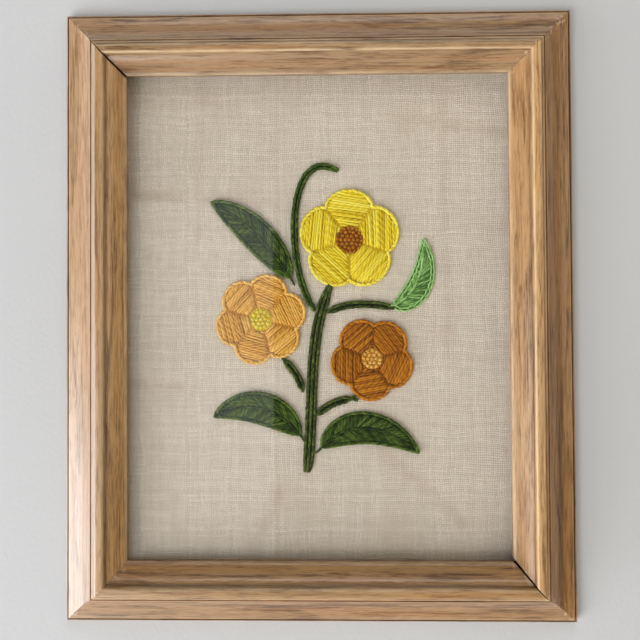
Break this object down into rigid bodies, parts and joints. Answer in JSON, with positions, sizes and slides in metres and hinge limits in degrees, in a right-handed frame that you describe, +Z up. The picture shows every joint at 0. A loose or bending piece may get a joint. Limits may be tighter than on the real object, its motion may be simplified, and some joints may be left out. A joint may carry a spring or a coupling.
{
  "type": "framed embroidery in a wooden picture frame",
  "caption": "Wool blossoms and leaves stitched on stretched linen, behind glass in a mitred moulded wooden picture frame that hangs on a wall.",
  "frame": {"origin": "on the wall, at the middle of the top rail's back face", "axes": "+Z up along the frame's long side, +Y into the wall, -Y towards the viewer, +X to the viewer's right"},
  "size_m": [0.2586, 0.0234, 0.3093],
  "materials": {
    "frame_wood": "stained and waxed, rubbed paler along the edges",
    "glass": "clear, polished",
    "board": "plain hardboard, matt",
    "linen": "natural, plain weave, matt",
    "wool_yellow": "two-ply wool, matt",
    "wool_amber": "two-ply wool, matt",
    "wool_ochre": "two-ply wool, matt",
    "wool_dark_green": "two-ply wool, matt",
    "wool_light_green": "two-ply wool, matt",
    "wool_olive": "two-ply wool, matt"
  },
  "bodies": {
    "root": {"rail_top": "frame_wood", "rail_bottom": "frame_wood", "rail_left": "frame_wood", "rail_right": "frame_wood", "glass_pane": "glass", "backing_board": "board", "linen_cloth": "linen", "blossom_yellow": "wool_yellow", "blossom_amber": "wool_amber", "blossom_ochre": "wool_ochre", "leaf_dark_upper": "wool_dark_green", "leaf_dark_left": "wool_dark_green", "leaf_dark_right": "wool_dark_green", "leaf_light": "wool_light_green", "stem_main": "wool_olive", "stem_to_amber": "wool_olive", "stem_to_ochre": "wool_olive", "stem_to_light_leaf": "wool_olive", "tendril": "wool_dark_green"}
  },
  "joints": []
}
